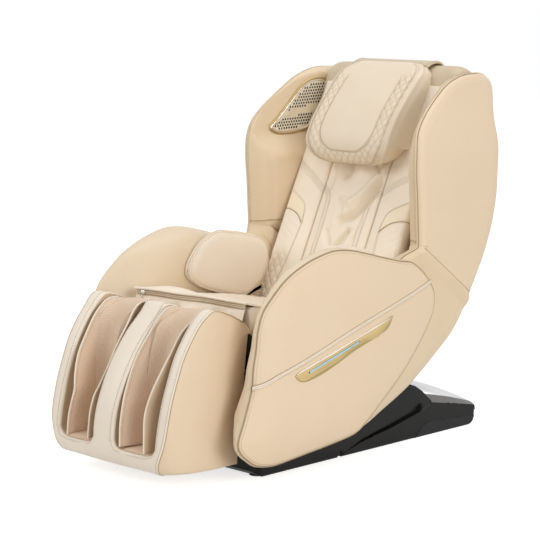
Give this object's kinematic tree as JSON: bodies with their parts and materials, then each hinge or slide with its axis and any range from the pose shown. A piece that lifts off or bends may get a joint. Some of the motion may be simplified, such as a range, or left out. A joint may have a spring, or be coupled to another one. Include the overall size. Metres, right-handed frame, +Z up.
{
  "type": "massage chair",
  "caption": "Massage chair: padded shell with arms and wings rocking on a low base, swinging leg rest with two leg wells, head pillow and travelling massage carriage.",
  "frame": {"origin": "on the floor, under the middle of the chair's width and depth", "axes": "+X to the sitter's left, -Y to the front, +Z up"},
  "size_m": [0.738, 1.27, 1.0902],
  "materials": {
    "textured_leather": "satin",
    "smooth_leather": "satin",
    "ribbed_fabric": "matte",
    "zipper_fabric": "matte",
    "back_plastic": "satin",
    "black_gloss_plastic": "gloss",
    "grey_plastic": "satin",
    "black_plastic": "satin",
    "gold_metal": "satin",
    "painted_steel": "satin",
    "bright_steel": "polished",
    "zinc_steel": "satin",
    "motor_case": "satin",
    "roller_rubber": "matte",
    "foot_rubber": "matte"
  },
  "bodies": {
    "base": {"base_cover": "black_gloss_plastic", "base_skirt": "grey_plastic", "base_frame": "painted_steel", "base_feet": "foot_rubber", "drive_bracket": "painted_steel", "power_inlet": "grey_plastic"},
    "switch_rocker": {"power_switch": "black_plastic"},
    "transport": {"transport_wheels": "roller_rubber"},
    "roller_front": {"cradle_roller_front": "roller_rubber"},
    "roller_rear": {"cradle_roller_rear": "roller_rubber"},
    "shell": {"body_frame": "painted_steel", "back_shell": "back_plastic", "arc_rails": "painted_steel", "arm_panel_left": "textured_leather", "arm_panel_right": "textured_leather", "arm_core_left": "smooth_leather", "arm_core_right": "smooth_leather", "lower_side_left": "smooth_leather", "lower_side_right": "smooth_leather", "wing_left": "textured_leather", "wing_right": "textured_leather", "speaker_driver_left": "black_plastic", "speaker_driver_right": "black_plastic", "speaker_grille_left": "gold_metal", "speaker_grille_right": "gold_metal", "arm_pad_left": "smooth_leather", "arm_pad_right": "smooth_leather", "trim_left": "gold_metal", "trim_right": "gold_metal", "seat_cushion": "smooth_leather", "apron": "smooth_leather", "zipper_tape": "zipper_fabric", "back_centre_pad": "smooth_leather", "back_side_pad_left": "smooth_leather", "back_side_pad_right": "smooth_leather", "top_cover": "smooth_leather", "massage_rail_left": "zinc_steel", "massage_rail_right": "zinc_steel", "air_pump": "grey_plastic", "control_box": "grey_plastic", "recline_actuator": "motor_case", "legrest_motor": "motor_case"},
    "slider": {"zip_slider": "bright_steel"},
    "head_pillow": {"pillow": "smooth_leather"},
    "rod": {"recline_rod": "bright_steel"},
    "carriage": {"carriage_frame": "painted_steel", "carriage_motor": "motor_case", "massage_arms": "painted_steel"},
    "kneader": {"kneading_shaft": "bright_steel"},
    "rollers_upper": {"massage_rollers_upper": "roller_rubber"},
    "rollers_lower": {"massage_rollers_lower": "roller_rubber"},
    "legrest": {"legrest_shell": "smooth_leather", "legrest_frame": "painted_steel", "calf_pad_left": "ribbed_fabric", "calf_pad_right": "ribbed_fabric", "well_flaps_left": "ribbed_fabric", "well_flaps_right": "ribbed_fabric", "sole_pad_left": "ribbed_fabric", "sole_pad_right": "ribbed_fabric"},
    "foot_massager": {"foot_roller": "roller_rubber"}
  },
  "joints": [
    {"name": "recline", "type": "hinge", "parent": "base", "child": "shell", "pos_m": [0, -0.151, 0.865], "axis": [-1, 0, 0], "range_deg": [0, 20]},
    {"name": "front_roller_spin", "type": "hinge", "parent": "base", "child": "roller_front", "pos_m": [0, -0.266, 0.04674], "axis": [1, 0, 0], "range_deg": [0, 531.7]},
    {"name": "rear_roller_spin", "type": "hinge", "parent": "base", "child": "roller_rear", "pos_m": [0, 0.13161, 0.08853], "axis": [1, 0, 0], "range_deg": [0, 531.7]},
    {"name": "rod_stroke", "type": "slide", "parent": "shell", "child": "rod", "axis": [0, 0.9962, 0.0872], "range_m": [0, 0.22308]},
    {"name": "legrest_swing", "type": "hinge", "parent": "shell", "child": "legrest", "pos_m": [0, -0.385, 0.425], "axis": [-1, 0, 0], "range_deg": [0, 80]},
    {"name": "foot_roller_spin", "type": "hinge", "parent": "legrest", "child": "foot_massager", "pos_m": [0, -0.52, 0.078], "axis": [1, 0, 0], "continuous": true},
    {"name": "carriage_travel", "type": "slide", "parent": "shell", "child": "carriage", "axis": [0, 0.4305, 0.9026], "range_m": [0, 0.25]},
    {"name": "kneading_spin", "type": "hinge", "parent": "carriage", "child": "kneader", "pos_m": [0, 0.42268, 0.52604], "axis": [1, 0, 0], "continuous": true},
    {"name": "upper_rollers_spin", "type": "hinge", "parent": "carriage", "child": "rollers_upper", "pos_m": [0, 0.40424, 0.60352], "axis": [1, 0, 0], "continuous": true},
    {"name": "lower_rollers_spin", "type": "hinge", "parent": "carriage", "child": "rollers_lower", "pos_m": [0, 0.35086, 0.4916], "axis": [1, 0, 0], "continuous": true},
    {"name": "pillow_flip", "type": "hinge", "parent": "shell", "child": "head_pillow", "pos_m": [0, 0.53372, 1.07357], "axis": [-1, 0, 0], "range_deg": [0, 95]},
    {"name": "zip_travel", "type": "slide", "parent": "shell", "child": "slider", "axis": [1, 0, 0], "range_m": [0, 0.41]},
    {"name": "switch_rock", "type": "hinge", "parent": "base", "child": "switch_rocker", "pos_m": [-0.06, 0.628, 0.04], "axis": [1, 0, 0], "range_deg": [0, 12]},
    {"name": "transport_spin", "type": "hinge", "parent": "base", "child": "transport", "pos_m": [0, 0.548, 0.031], "axis": [1, 0, 0], "continuous": true}
  ],
  "couplings": [
    {"joint": "front_roller_spin", "follows": "recline", "ratio": 26.533},
    {"joint": "rear_roller_spin", "follows": "recline", "ratio": 26.533},
    {"joint": "rod_stroke", "follows": "recline", "m_per_rad": 0.6385}
  ]
}
